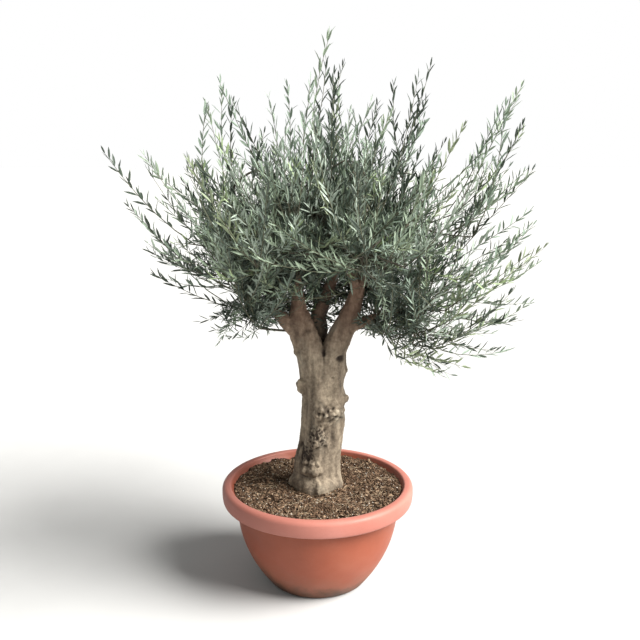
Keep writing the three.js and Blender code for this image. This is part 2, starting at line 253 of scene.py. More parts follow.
# Painted shade: the pot turns darker brown towards its left, away from the light. The same share also lifts
# the line of dirt on that side.
left_shade_and_dirt_share = plastic.span(plastic.along("X"), 0.0, -0.34, 0, 0.45)
dirt_edge = plastic.maths(plastic.times(plastic.noise(14, 6, 0.65), 0.16), plastic.times(left_shade_and_dirt_share, 0.2))
above_dirt = plastic.maths(height, dirt_edge, "SUBTRACT")
dust_share = plastic.span(above_dirt, 0.05, -0.06, 0, 0.5)
algae_share = plastic.span(above_dirt, -0.02, -0.09, 0, 0.85)
dust_and_shade = plastic.mixed(dust_share, lip_lighter_mouth_shaded, linear(128, 92, 71))
dust_and_shade = plastic.mixed(algae_share, dust_and_shade, linear(54, 47, 34))
# Painted shade: the left side is darkened towards a deep brown.
dust_and_shade = plastic.mixed(left_shade_and_dirt_share, dust_and_shade, linear(74, 38, 28))
specks = plastic.ramp(plastic.noise(260, 2), (0.62, 0, 0, 0), (0.72, 60, 60, 60))
plastic.give("Base Color", plastic.mixed(0.25, dust_and_shade, specks, "ADD"))
plastic.give("Roughness", plastic.span(plastic.noise(9, 5), 0.3, 0.7, 0.42, 0.62))
plastic.bump(plastic.maths(plastic.noise(420, 2), plastic.times(plastic.noise(24), 2)), 0.0004, 0.5)
finished(pot, [plastic.material], ["pot"])


# The soil -----------------------------------------------------
# Peaty potting soil, filled to about 2 cm below the rim, a little heaped round the trunk. Its top is
# strewn with bark chips, crumbs, bits of straw and pale grit. All of it just lies in the planter.

SOIL_EDGE = POT_HEIGHT - 0.02
SOIL_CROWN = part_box("soil")[1].z
SOIL_SIDES = 240
SOIL_RINGS = 58
SOIL_RADIUS = wall_radius(SOIL_EDGE) + 0.0015
TRUNK_FOOT = (-0.012, 0.008)
TRUNK_CLEARANCE = 0.085
LITTER_REACH = SOIL_RADIUS - 0.006
LITTER_UNEVENNESS = 0.28
MOSTLY_SMALL = 1.6


def ripples(points, wavelength, seed, waves=16):
    """Smooth random relief, mostly from -1 to 1, with bumps about a wavelength across."""
    draw = np.random.default_rng(seed)
    headings = draw.normal(size=(waves, 3))
    headings /= np.linalg.norm(headings, axis=1)[:, None]
    turns = 2 * np.pi * headings * draw.uniform(0.7, 1.4, (waves, 1)) / np.asarray(wavelength)
    phases = draw.uniform(0, 2 * np.pi, waves)
    return np.sin(points @ turns.T + phases).sum(axis=1) / math.sqrt(waves)


def ramped(values, start, width):
    """0 at the start and 1 a width on. The width is negative where the share grows downwards."""
    return np.clip((values - start) / width, 0, 1)


def hill(values, middle, half_width):
    """1 at the middle, and less and less on both sides of it."""
    return np.exp(-(((values - middle) / half_width) ** 2))


def soil_height(places):
    """Height of the soil's top at x, y: hollows and heaps, clods, and a skirt round the trunk."""
    x, y = places[:, 0], places[:, 1]
    flat = np.column_stack([x, y, np.zeros(len(places))])
    foot_distance = np.hypot(x - TRUNK_FOOT[0], y - TRUNK_FOOT[1])
    base = SOIL_EDGE + (SOIL_CROWN - SOIL_EDGE) * ramped(np.hypot(x, y), 0.3, -0.2)
    lumps = 0.0035 * ripples(flat, 0.11, 3) + 0.0022 * ripples(flat, 0.03, 4)
    clods = 0.0014 * ripples(flat, 0.011, 5) + 0.0028 * np.clip(ripples(flat, 0.018, 6), 0, 2)
    return base + lumps + clods + 0.006 * hill(foot_distance, 0.09, 0.035)


def vertices_of(mesh, field="co"):
    """The places of a mesh's vertices, or their normals."""
    values = np.empty(len(mesh.vertices) * 3, np.float32)
    mesh.vertices.foreach_get(field, values)
    return values.reshape(-1, 3).astype(float)


def triangles_of(mesh):
    mesh.calc_loop_triangles()
    return np.array([t.vertices[:] for t in mesh.loop_triangles])


def move_vertices(mesh, places):
    mesh.vertices.foreach_set("co", places.astype(np.float32).ravel())
    mesh.update()


soil_side = [(wall_radius(z) - 0.0006, z) for z in np.linspace(0.25, SOIL_EDGE - 0.012, 6)]
soil_top = [(r, SOIL_EDGE) for r in np.linspace(SOIL_RADIUS, 0.005, SOIL_RINGS)]
soil = turned("soil_fill", [*soil_side, *soil_top], SOIL_SIDES)
top_places = vertices_of(soil.data)
on_top = top_places[:, 2] > SOIL_EDGE - 0.001
top_places[on_top, 2] = soil_height(top_places[on_top])
move_vertices(soil.data, top_places)
bpy.ops.object.shade_smooth()

peat = Finish("potting_soil", roughness=0.95, specular=0.2)
peat_colour = peat.ramp(
    peat.noise(150, 5, 0.7), (0.28, 40, 30, 23), (0.46, 72, 55, 42), (0.6, 102, 81, 62), (0.72, 132, 110, 88)
)
damp = peat.ramp(peat.noise(9), (0.35, 168, 160, 152), (0.65, 255, 255, 255))
peat.give("Base Color", peat.mixed(0.8, peat_colour, damp, "MULTIPLY"))
peat.bump(peat.noise(230, 6, 0.7), 0.004)
finished(soil, [peat.material], ["soil"])


def joined(name, points, triangles):
    """One mesh from arrays of points and triangles, in one part or in a stack of like parts."""
    mesh = bpy.data.meshes.new(name)
    if points.ndim > 2:
        triangles = triangles + (np.arange(len(points)) * points.shape[1])[:, None, None]
        triangles = triangles.reshape(-1, 3)
    mesh.vertices.add(points.size // 3)
    mesh.vertices.foreach_set("co", points.astype(np.float32).ravel())
    mesh.loops.add(triangles.size)
    mesh.loops.foreach_set("vertex_index", triangles.astype(np.int32).ravel())
    mesh.polygons.add(len(triangles))
    mesh.polygons.foreach_set("loop_start", np.arange(0, triangles.size, 3, dtype=np.int32))
    mesh.polygons.foreach_set("loop_total", np.full(len(triangles), 3, np.int32))
    mesh.update(calc_edges=True)
    mesh.validate()
    piece = bpy.data.objects.new(name, mesh)
    bpy.context.scene.collection.objects.link(piece)
    return piece


def smooth(piece):
    piece.data.polygons.foreach_set("use_smooth", np.ones(len(piece.data.polygons), bool))


def unit(vectors):
    return vectors / np.maximum(np.linalg.norm(vectors, axis=-1, keepdims=True), 1e-9)


UP = np.array([0.0, 0.0, 1.0])


def random_turns(draw, count, tilt):
    """Turning matrices with any heading, leaning up to tilt radians out of level."""
    heading = draw.uniform(0, 2 * np.pi, count)
    lean = draw.uniform(-tilt, tilt, count)
    roll = draw.uniform(-tilt, tilt, count)
    along = np.column_stack([np.cos(heading) * np.cos(lean), np.sin(heading) * np.cos(lean), np.sin(lean)])
    level = unit(np.cross(UP, along))
    over = np.cross(along, level)
    across = level * np.cos(roll)[:, None] + over * np.sin(roll)[:, None]
    return np.stack([along, across, np.cross(along, across)], axis=1)


def strewn_places(draw, count, reach):
    """Places on the soil inside the rim, clear of the trunk."""
    out = reach * np.sqrt(draw.uniform(0, 1, count * 2))
    turn = draw.uniform(0, 2 * np.pi, count * 2)
    places = np.column_stack([out * np.cos(turn), out * np.sin(turn)])
    return places[np.hypot(*(places - TRUNK_FOOT).T) > TRUNK_CLEARANCE][:count]


def strewn(name, seed, count, pattern, sizes, tilt, sunk, material):
    """Copies of one small shape strewn on the soil. sizes is the low and high of each side."""
    shape, faces = pattern
    draw = np.random.default_rng(seed)
    places = strewn_places(draw, count, LITTER_REACH)
    low, high = np.array(sizes).T
    size = low + (high - low) * draw.uniform(0, 1, (count, 3)) ** MOSTLY_SMALL
    uneven = shape * (1 + LITTER_UNEVENNESS * draw.uniform(-1, 1, (count, *shape.shape)))
    turned_shapes = np.einsum("nvk,nkj->nvj", uneven * size[:, None], random_turns(draw, count, tilt))
    lift = soil_height(places) + (0.5 - sunk) * size[:, 2]
    points = turned_shapes + np.column_stack([places, lift])[:, None]
    finished(joined(name, points, faces), [material])


def primitive_arrays(add, **options):
    """Points and triangles of a primitive half a unit round, taken as a pattern for many copies."""
    add(**options)
    pattern = bpy.context.object
    arrays = vertices_of(pattern.data), triangles_of(pattern.data)
    bpy.data.objects.remove(pattern)
    return arrays


ball = primitive_arrays(bpy.ops.mesh.primitive_ico_sphere_add, subdivisions=1, radius=0.5)
brick = primitive_arrays(bpy.ops.mesh.primitive_cube_add, size=1)
dark_crumb = speckled(
    "soil_crumb", 0.95, 0.2, (70, 4, 0.7), [(0.3, 44, 33, 26), (0.5, 82, 63, 48), (0.68, 122, 99, 78)],
    (420, 3, 0.001),
)
strewn(
    "soil_crumbs", 21, 2600, ball, [(0.004, 0.017), (0.003, 0.012), (0.002, 0.01)], 0.6, 0.3, dark_crumb
)
chip_wood = speckled(
    "chip_wood", 0.85, 0.25, (55, 5, 0.75),
    [(0.3, 72, 54, 40), (0.45, 108, 84, 64), (0.58, 146, 122, 98), (0.7, 188, 168, 142)], (500, 3, 0.0006),
)
strewn(
    "bark_chips", 22, 1700, brick, [(0.005, 0.026), (0.002, 0.009), (0.0008, 0.003)], 0.5, 0.1, chip_wood
)
pale_stone = speckled("pale_stone", 0.8, 0.5, (120,), [(0.35, 150, 138, 122), (0.65, 204, 195, 181)])
strewn("pale_grit", 23, 760, ball, [(0.002, 0.008), (0.002, 0.007), (0.002, 0.005)], 0.7, 0.15, pale_stone)


def tube_faces(rings, sides=3):
    """Triangles of a tube whose points come ring by ring. One with three sides has closed ends."""
    faces = []
    for ring in range(rings - 1):
        for corner in range(sides):
            here = ring * sides + corner
            beside = ring * sides + (corner + 1) % sides
            faces += [(here, beside, here + sides), (beside, beside + sides, here + sides)]
    if sides == 3:
        last = 3 * (rings - 1)
        faces += [(0, 2, 1), (last, last + 1, last + 2)]
    return np.array(faces)


STRAWS = 300
STRAW_STEPS = 5
STRAW_THICKNESS = 0.0009
draw = np.random.default_rng(24)
straw_places = strewn_places(draw, STRAWS, SOIL_RADIUS - 0.03)
straw_heading = draw.uniform(0, 2 * np.pi, STRAWS)
straw_curl = draw.uniform(-1.4, 1.4, STRAWS)
straw_length = draw.uniform(0.02, 0.09, STRAWS)
straw_points = []
walk = straw_places
for step in range(STRAW_STEPS + 1):
    turn = straw_heading + straw_curl * step / STRAW_STEPS
    ahead = np.column_stack([np.cos(turn), np.sin(turn)])
    side = np.column_stack([-ahead[:, 1], ahead[:, 0]])
    inward = np.minimum(1, LITTER_REACH / np.maximum(np.hypot(*walk.T), 1e-6))
    walk = walk * inward[:, None]
    lie = soil_height(walk) + 0.0016 + 0.002 * np.sin(np.pi * step / STRAW_STEPS)
    width = STRAW_THICKNESS * (1 - 0.5 * step / STRAW_STEPS)
    for across, over in ((-1, 0), (0, 1), (1, 0)):
        flat_place = walk + side * across * width
        straw_points.append(np.column_stack([flat_place, lie + over * width]))
    walk = walk + ahead * (straw_length / STRAW_STEPS)[:, None]
straw = joined("straw_bits", np.stack(straw_points, axis=1), tube_faces(STRAW_STEPS + 1)[:, [0, 2, 1]])
straw_tones = [(0.35, 104, 84, 64), (0.5, 148, 128, 102), (0.7, 182, 166, 140)]
finished(straw, [speckled("dry_straw", 0.7, 0.5, (25,), straw_tones)])


# The trunk and boughs -----------------------------------------
# Old olive wood under thin grey-brown bark: a fluted trunk with a flared foot, burls and pruning
# knots, whose boughs grow out of it without a seam. The limbs of the frame are merged and smoothed,
# the burls are added as lumps, and the bark's relief is worked into the surface.

LIMBS = ["trunk", *sorted(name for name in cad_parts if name.startswith("bough"))]
FOOT_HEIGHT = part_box("trunk")[0].z
FORK_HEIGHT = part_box("trunk")[1].z
FOOT_BURIED = 0.014
TRUNK_AXIS = (0.014, 0.01)
TRUNK_RADIUS = 0.08
VOXEL = 0.0033

limbs_mesh = bpy.data.meshes.new("trunk_and_boughs")
gathered = bmesh.new()
for limb in LIMBS:
    gathered.from_mesh(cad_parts[limb].data)
bmesh.ops.remove_doubles(gathered, verts=gathered.verts, dist=1e-5)
for vertex in gathered.verts:
    if vertex.co.z < FOOT_HEIGHT + 0.001:
        vertex.co.z -= FOOT_BURIED
gathered.to_mesh(limbs_mesh)
limb_surface = BVHTree.FromBMesh(gathered)
gathered.free()
trunk = bpy.data.objects.new("trunk_and_boughs", limbs_mesh)
bpy.context.scene.collection.objects.link(trunk)


def on_bark(height, azimuth):
    """The point of the trunk's surface at a height and an azimuth from +X, in degrees, and the way out."""
    turn = math.radians(azimuth)
    outward = Vector((math.cos(turn), math.sin(turn), 0))
    start = Vector((*TRUNK_AXIS, height)) + outward * 0.4
    return limb_surface.ray_cast(start, -outward)[0], outward


def in_metres(rows):
    return np.array(rows) / 1000


# Burls and knots: height, azimuth in degrees, spread across and up, size of a lump, how far the
# lumps stand out from the bark, and their number.
BURLS = [
    (0.69, 288, 0.055, 0.012, 0.017, -0.002, 30), (0.666, 288, 0.052, 0.02, 0.0125, 0.014, 64),
    (0.571, 257, 0.036, 0.03, 0.0085, 0.009, 76), (0.795, 352, 0.006, 0.008, 0.01, -0.005, 4),
    (0.696, 352, 0.01, 0.018, 0.012, -0.004, 7), (0.622, 345, 0.01, 0.016, 0.011, -0.004, 6),
    (0.749, 190, 0.012, 0.02, 0.016, 0.009, 9), (0.868, 195, 0.008, 0.01, 0.01, 0, 4),
    (0.872, 322, 0.02, 0.012, 0.016, -0.006, 9), (0.5, 222, 0.022, 0.03, 0.011, -0.001, 14),
    (0.438, 244, 0.03, 0.004, 0.013, 0.006, 12), (0.462, 238, 0.034, 0.016, 0.01, 0.002, 16),
    (0.376, 256, 0.09, 0.01, 0.026, -0.004, 50), (0.7, 80, 0.026, 0.022, 0.014, 0.002, 11),
    (0.52, 130, 0.02, 0.024, 0.013, 0.001, 8),
]
# The heights of the two whose surface is gnarled as well.
GNARLED = (0.571, 0.5)
# Swellings that fill the fork, so that the boughs leave the trunk without a step: place and radius,
# in millimetres.
FORK_SWELLINGS = in_metres([
    (-12, -10, 880, 30), (-16, -8, 909, 30), (-28, -6, 939, 29), (-40, -4, 969, 28), (-49, -2, 999, 26),
    (20, 20, 868, 34), (-34, -14, 866, 34), (70, -8, 868, 32), (-30, 24, 866, 32), (64, 26, 868, 32),
    (-44, 4, 868, 30), (-30, -26, 878, 32), (-4, -27, 874, 30), (-34, -22, 905, 30),
    (-12, -22, 902, 28), (-30, -16, 930, 30), (46, -27, 876, 32), (70, -24, 880, 31),
    (53, -21, 906, 28), (76, -22, 905, 30),
])
draw = np.random.default_rng(31)
bpy.context.view_layer.objects.active = trunk
trunk.select_set(True)
bpy.ops.object.mode_set(mode="EDIT")
bpy.ops.mesh.select_all(action="DESELECT")
burl_places = []
for height, azimuth, spread_across, spread_up, lump, out, number in BURLS:
    centre, outward = on_bark(height, azimuth)
    if height in GNARLED:
        burl_places.append((np.array(centre), max(spread_across, spread_up) + lump))
    for _ in range(number):
        across, up = np.clip(draw.normal(size=2) * 0.55, -1.1, 1.1)
        size = lump * draw.uniform(0.6, 1.15)
        aside = math.degrees(across * spread_across / TRUNK_RADIUS)
        place, outward = on_bark(height + up * spread_up, azimuth + aside)
        place += outward * (out - 0.35 * size * (across * across + up * up))
        bpy.ops.mesh.primitive_ico_sphere_add(subdivisions=2, radius=size, location=place)
for x, y, z, size in FORK_SWELLINGS:
    bpy.ops.mesh.primitive_ico_sphere_add(subdivisions=3, radius=size, location=(x, y, z))
bpy.ops.object.mode_set(mode="OBJECT")
merging = trunk.modifiers.new("one_skin", "REMESH")
merging.mode = "VOXEL"
merging.voxel_size = VOXEL
bpy.ops.object.modifier_apply(modifier=merging.name)
heights = vertices_of(trunk.data)[:, 2]
for band, middle_height, half_height in (("at_fork", FORK_HEIGHT, 0.042), ("at_foot", 0.385, 0.035)):
    healing = trunk.vertex_groups.new(name=band)
    share = hill(heights, middle_height, half_height)
    for level in np.linspace(0.1, 1, 10):
        healing.add(np.flatnonzero(np.abs(share - level) < 0.05).tolist(), level, "REPLACE")
for group, rounds in (("", 4), ("at_fork", 60), ("at_foot", 34)):
    softening = trunk.modifiers.new("healed", "SMOOTH")
    softening.factor = 0.5
    softening.iterations = rounds
    softening.vertex_group = group
    bpy.ops.object.modifier_apply(modifier=softening.name)

bark_places = vertices_of(trunk.data)
bark_normals = vertices_of(trunk.data, "normal")
bark_x, bark_y, bark_z = bark_places.T
calm = 1 - 0.7 * ramped(bark_z, 0.88, 0.3)
muscles = 0.003 * ripples(bark_places, (0.075, 0.075, 0.7), 41) * calm
folds = 0.0009 * ripples(bark_places, (0.026, 0.026, 0.11), 42) * calm
wrinkles = 0.00045 * ripples(bark_places, (0.02, 0.02, 0.008), 43)
flakes = 0.00035 * ripples(bark_places, (0.008, 0.008, 0.014), 44)
# Painted shade: the bough behind the fork, shaded by those in front of it, is painted darker.
shade_behind_fork = hill(bark_x, 0.035, 0.04) * ramped(bark_y, 0.02, 0.03) * ramped(bark_z, 0.86, 0.06)
knotted = np.zeros(len(bark_places))
for centre, reach in burl_places:
    away = np.linalg.norm(bark_places - centre, axis=1)
    knotted = np.maximum(knotted, hill(away, 0, 0.75 * reach))
gnarls = 0.0034 * (0.5 - np.abs(ripples(bark_places, 0.019, 45))) * knotted
facing_front = ramped(bark_normals[:, 1], 0, -0.5)
knobbly = hill(bark_x, 0.04, 0.045) * hill(bark_z, 0.668, 0.027) * facing_front
knobs = 0.0038 * (np.abs(ripples(bark_places, 0.03, 47)) - 0.6) * knobbly

# The trunk draws in on its left, most of all at the waist and just above the soil.
drawn_in = 0.009 + 0.012 * hill(bark_z, 0.375, 0.07)
bark_x += drawn_in * ramped(bark_x, TRUNK_AXIS[0], -0.06) * ramped(bark_z, 0.84, -0.1)
# Painted shade: a patchy dark band low on the trunk's left side, away from the light.
left_side_shade = ramped(bark_x, -0.032, -0.02) * hill(bark_z, 0.5, 0.1)
left_side_shade *= np.clip(0.5 + 0.6 * ripples(bark_places, (0.022, 0.022, 0.045), 46), 0, 1)

# Dents seen from the front, x, z, half width, half height and depth in millimetres: holes in the
# burls, the knot hole under the right bough, pits at the left of the foot, and creases.
DENTS = in_metres([
    (6, 664, 5, 5, 10), (21, 663, 5.5, 5, 11), (37, 677, 3.5, 6.5, 9), (54, 682, 3.5, 4.5, 7),
    (64, 650, 8.5, 5.5, 12), (34, 652, 5.5, 3.5, 8), (51, 661, 3.5, 3.5, 6), (42, 630, 42, 5, 5),
    (-2, 571, 5.5, 5.5, 9), (-14, 580, 4.5, 5.5, 8), (12, 580, 4.5, 5, 8), (-12, 558, 5, 4.5, 8),
    (10, 558, 4.5, 5, 8), (84, 856, 14, 10, 20), (52, 786, 6, 3.5, 4), (-68, 874, 6, 4, 5),
    (-48, 500, 7, 9, 8), (-56, 524, 7, 12, 7), (-34, 482, 6, 7, 8), (-48, 417, 20, 3.5, 6),
    (4, 422, 14, 3, 3), (-46, 460, 16, 4, 6), (21, 868, 4.5, 38, 8), (20, 790, 6.5, 65, 3),
    (-20, 700, 9, 130, 3),
])
dents = np.zeros(len(bark_places))
for x, z, half_width, half_height, depth in DENTS:
    dents = np.maximum(dents, depth * hill(bark_x, x, half_width) * hill(bark_z, z, half_height))
dents *= facing_front
relief = muscles + folds + wrinkles + flakes + gnarls + knobs - dents
shown = bark_z > FOOT_HEIGHT - FOOT_BURIED + 0.004
move_vertices(trunk.data, bark_places + bark_normals * (relief * shown)[:, None])

# Painted shade and highlight, kept as the hollow value: the bark is painted darker in its dents and in the
# sunken parts of folds, flakes and gnarls, where shade falls, behind the fork and low on the left side. It
# is painted paler on raised folds, gnarls and knob tops. The gnarled burls also add their own darker tone.
hollow = -(folds + flakes) / 0.0035 + dents / 0.006 - gnarls / 0.0012 - knobs / 0.002
hollow += 1.5 * knotted + 1.1 * shade_behind_fork + 0.85 * left_side_shade
hollows = trunk.data.attributes.new("hollow", "FLOAT", "POINT")
hollows.data.foreach_set("value", np.clip(0.42 + 0.42 * hollow, 0, 1).astype(np.float32))
smooth(trunk)

bark = Finish("olive_bark", roughness=0.9, specular=0.25)
height = bark.along("Z")
shade_share = bark.attribute("hollow")
streaks = bark.noise(1, 5, 0.6, bark.stretched((30, 30, 7)))
mottling = bark.noise(70, 5, 0.65)
tone = bark.maths(bark.times(streaks, 0.6), bark.times(mottling, 0.4))
bare = bark.ramp(
    tone, (0.34, 82, 73, 63), (0.46, 114, 102, 87), (0.56, 140, 127, 109), (0.68, 172, 158, 137)
)
warm = bark.ramp(tone, (0.34, 78, 60, 49), (0.5, 114, 92, 77), (0.66, 142, 118, 100))
upper_bark = bark.ramp(tone, (0.34, 56, 51, 43), (0.5, 82, 75, 64), (0.66, 108, 100, 87))
aged = bark.mixed(bark.span(height, 0.86, 1.02), bare, warm)
aged = bark.mixed(bark.span(height, 1.12, 1.22), aged, upper_bark)
lichen = bark.mixed(bark.span(bark.noise(9, 4, 0.6), 0.56, 0.7, 0, 0.4), aged, linear(118, 116, 104))
# Painted highlight: raised bark and knob tops are painted pale.
ridges_highlighted = bark.mixed(bark.span(shade_share, 0.28, 0, 0, 0.38), lichen, linear(198, 187, 168))
# Painted shade: the bark's hollows are painted dark brown.
in_painted_shade = bark.span(shade_share, 0.45, 1, 0, 0.9)
bark.give("Base Color", bark.mixed(in_painted_shade, ridges_highlighted, linear(40, 31, 26)))
grain = bark.noise(1, 7, 0.65, bark.stretched((190, 190, 120)))
bark.bump(bark.maths(grain, mottling), 0.002, 0.7)
finished(trunk, [bark.material], LIMBS)


# The branches -------------------------------------------------
# Living wood that goes on from the boughs: one branch to the heart of each foliage mass, and
# branchlets from it to places inside the mass. Each grows from the nearest wood that heads its way,
# and is as thick as the shoots that it carries need.

MASSES = sorted(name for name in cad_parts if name.startswith("foliage"))
FORK = np.array([*TRUNK_AXIS, FORK_HEIGHT])
CROWN_CENTRE = np.array([0.01, 0.0, 1.05])
WOOD_STEP = 0.026
TURN_COST = 0.9
WOOD_LEAD = 0.2
WOOD_SWAY = 0.03
BRANCHLETS = 11
BRANCHLET_SPOTS = 160
BRANCHLET_DEPTHS = (0.3, 0.66)
LIMB_SAMPLES = 6000
TIP_DRAWN_OUT = 0.06
TIP_FURTHER_OUT = 0.045
# Twigs that lead low wands out to the left and to the right: the places that they run to, in
# millimetres.
LOW_TWIGS = in_metres([
    (-200, -70, 972), (-310, -60, 990), (240, -90, 955), (330, -80, 915), (420, -60, 885),
    (500, -50, 865),
])
draw = np.random.default_rng(51)


def growth_way(points):
    """Which way shoots grow at some points of the crown: away from its middle, and up towards its top."""
    away = unit(points - CROWN_CENTRE)
    return unit(away + (0.15 + 0.35 * ramped(points[:, 2:], 1.4, 0.3)) * UP)


class Mass:
    """What the frame says of one foliage mass: its core, its heart and the tips of its shoots."""

    def __init__(self, name):
        self.name = name
        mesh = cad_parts[name].data
        self.points, index = np.unique(np.round(vertices_of(mesh), 5), axis=0, return_inverse=True)
        self.triangles = index.reshape(-1)[triangles_of(mesh)]
        self.heart = self.points.mean(axis=0)
        self.tips = []
        self.core = self.points.copy()
        self.draw_in_tips()
        one, two, three = (self.core[self.triangles[:, k]] for k in range(3))
        self.areas = np.linalg.norm(np.cross(two - one, three - one), axis=1) / 2
        volumes = np.einsum("ij,ij->i", one, np.cross(two, three)) / 6
        self.volume = volumes.sum()
        self.heart = ((one + two + three) / 4 * volumes[:, None]).sum(axis=0) / self.volume

    def draw_in_tips(self):
        """Finds the corners drawn far out from those round them, and takes them back for the core."""
        sums = np.zeros_like(self.points)
        counts = np.zeros(len(self.points))
        for a, b in ((0, 1), (1, 2), (2, 0)):
            np.add.at(sums, self.triangles[:, a], self.points[self.triangles[:, b]])
            np.add.at(counts, self.triangles[:, a], 1)
        around = sums / counts[:, None]
        drawn = np.linalg.norm(self.points - around, axis=1)
        out, out_around = (np.linalg.norm(p - self.heart, axis=1) for p in (self.points, around))
        for i in np.flatnonzero((drawn > TIP_DRAWN_OUT) & (out - out_around > TIP_FURTHER_OUT)):
            self.tips.append((self.points[i], around[i]))
            self.core[i] = around[i]

    def surface(self, draw, count):
        """Random points on the core's surface."""
        picked = draw.choice(len(self.areas), count, p=self.areas / self.areas.sum())
        share = draw.uniform(0, 1, (count, 2))
        folded = share.sum(axis=1) > 1
        share[folded] = 1 - share[folded]
        one, two, three = (self.core[self.triangles[picked, k]] for k in range(3))
        return one + (two - one) * share[:, :1] + (three - one) * share[:, 1:]


masses = [Mass(name) for name in MASSES]


def limb_course(name, steps=9):
    """Points up the middle of a limb of the frame, from the fork's end to its tip."""
    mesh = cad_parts[name].data
    corners = triangles_of(mesh)
    draw = np.random.default_rng(5)
    picked = corners[draw.integers(0, len(corners), LIMB_SAMPLES)]
    weights = draw.dirichlet((1, 1, 1), LIMB_SAMPLES)
    inside = np.einsum("nk,nkj->nj", weights, vertices_of(mesh)[picked])
    out = np.linalg.norm(inside - FORK, axis=1)
    levels = np.linspace(out.min(), out.max(), steps + 1)
    slabs = [inside[(out >= low) & (out <= high)] for low, high in zip(levels, levels[1:])]
    return np.array([slab.mean(axis=0) for slab in slabs if len(slab) > 3])


class Wood:
    """Points of living wood. Each knows the point that it grew from and which way it heads."""

    def __init__(self):
        self.places = []
        self.parents = []
        self.headings = []
        self.drawn = []

    def add(self, place, parent, drawn):
        self.headings.append(UP if parent is None else unit(place - self.places[parent]))
        self.places.append(place)
        self.parents.append(parent)
        self.drawn.append(drawn)
        return len(self.places) - 1

    def best_start(self, target):
        """The point from which the way to a target is short and needs little turning."""
        ways = target - np.array(self.places)
        far = np.linalg.norm(ways, axis=1)
        facing = np.einsum("ij,ij->i", unit(ways), np.array(self.headings))
        return int(np.argmin(far * (1 + TURN_COST * (1 - facing))))

    def grow(self, start, target, draw, drawn=True):
        """Grows from a point to a target on a curve that sets out the way the wood heads there."""
        begin = self.places[start]
        far = np.linalg.norm(target - begin)
        if far < 0.4 * WOOD_STEP:
            return start
        lead = begin + self.headings[start] * far * WOOD_LEAD
        steps = max(2, round(far / WOOD_STEP))
        sway = draw.normal(size=3) * WOOD_SWAY * far
        last = start
        for t in np.linspace(0, 1, steps + 1)[1:]:
            place = (1 - t) ** 2 * begin + 2 * t * (1 - t) * (lead + sway) + t * t * target
            last = self.add(place, last, drawn)
        return last


wood = Wood()
wood.add(FORK, None, False)
for limb in sorted(LIMBS[1:], key=lambda name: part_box(name)[0].z):
    course = limb_course(limb)
    last = wood.best_start(course[0])
    for place in course:
        last = wood.grow(last, place, np.random.default_rng(6), drawn=False)
for mass in sorted(masses, key=lambda m: np.linalg.norm(m.heart - FORK)):
    wood.grow(wood.best_start(mass.heart), mass.heart, draw)
for mass in masses:
    points = mass.surface(draw, BRANCHLET_SPOTS)
    depths = draw.uniform(*BRANCHLET_DEPTHS, (BRANCHLET_SPOTS, 1))
    spots = mass.heart + (points - mass.heart) * depths
    chosen = [spots[0]]
    for _ in range(BRANCHLETS - 1):
        gaps = np.min([np.linalg.norm(spots - spot, axis=1) for spot in chosen], axis=0)
        chosen.append(spots[int(np.argmax(gaps))])
    for spot in sorted(chosen, key=lambda s: np.linalg.norm(s - mass.heart)):
        wood.grow(wood.best_start(spot), spot, draw)
for spot in LOW_TWIGS:
    wood.grow(wood.best_start(spot), spot, draw)


# The shoots ---------------------------------------------------
# This and last year's growth: slender wands, mostly 10 to 60 cm long, that run out and upwards
# through each mass to its surface, and beyond it to the ends of the longest. Each carries its leaves.

# Each kind of shoot: its leaves' length, their width as a share of it, the space between two pairs of
# leaves, and how much of the shoot is bare.
KINDS = {
    "lone": (0.05, 0.195, 0.025, 0.1),
    "wand": (0.053, 0.19, 0.025, 0.16),
    "beside": (0.05, 0.18, 0.0235, 0.16),
    "outer": (0.043, 0.165, 0.016, 0.2),
    "inner": (0.035, 0.155, 0.0112, 0.1),
}
LONGEST, SPRAY_LENGTH = 0.65, 0.26
BESIDE_LENGTHS, OUTER_LENGTHS = (0.3, 0.46), (0.32, 0.48)
INNER_LENGTHS, COVERING_LENGTHS = (0.12, 0.24), (0.08, 0.16)
# Places tried to a square metre and a cubic metre, the least gap between two, and how far out they go.
OUTER_DENSITY, INNER_DENSITY = 900, 10000
OUTER_GAP, INNER_GAP = 0.086, 0.0305
OUTER_DEPTHS = (-0.22, 0.03)
CROWDING = 0.015
CORE_MIDDLE = np.array([0.0, 0.0, 1.25])
CORE_RADII = np.array([0.43, 0.38, 0.27])
BARE_TO = 1.11


def hides_boughs(places):
    """Where the boughs stand bare: in front of them, between the fork and the lowest shoots."""
    x, y, z = places.T
    between = np.abs(x - FORK[0]) < 0.05 + 0.5 * (z - FORK_HEIGHT)
    return between & (z < BARE_TO + 0.3 * x) & (y < 0.02) & (z > FORK_HEIGHT - 0.1)


# Where sky shows through, seen from the front at eye level: x, z, half width, half height and the
# share of the growth that is gone.
EYE = np.array([0.009, -3.0, 1.664])
SKY_GAPS = [
    (-0.405, 1.088, 0.14, 0.048, 1), (0.12, 0.885, 0.09, 0.055, 1), (-0.17, 0.875, 0.14, 0.035, 1),
    (-0.19, 1.71, 0.045, 0.06, 1), (-0.028, 1.714, 0.03, 0.075, 1), (0.31, 1.73, 0.03, 0.08, 1),
    (-0.516, 1.449, 0.04, 0.03, 1), (-0.385, 1.516, 0.03, 0.03, 1), (0.475, 1.509, 0.06, 0.03, 1),
    (0.64, 1.356, 0.045, 0.055, 1), (0.527, 1.207, 0.04, 0.035, 1), (0.245, 0.9, 0.04, 0.022, 1),
    (-0.16, 1.63, 0.12, 0.07, 0.55), (0.335, 1.61, 0.08, 0.11, 0.2), (0.63, 1.6, 0.1, 0.11, 0.45),
    (-0.24, 1.565, 0.09, 0.05, 0.5), (-0.365, 1.525, 0.05, 0.04, 0.5), (0.49, 1.63, 0.07, 0.06, 0.5),
]
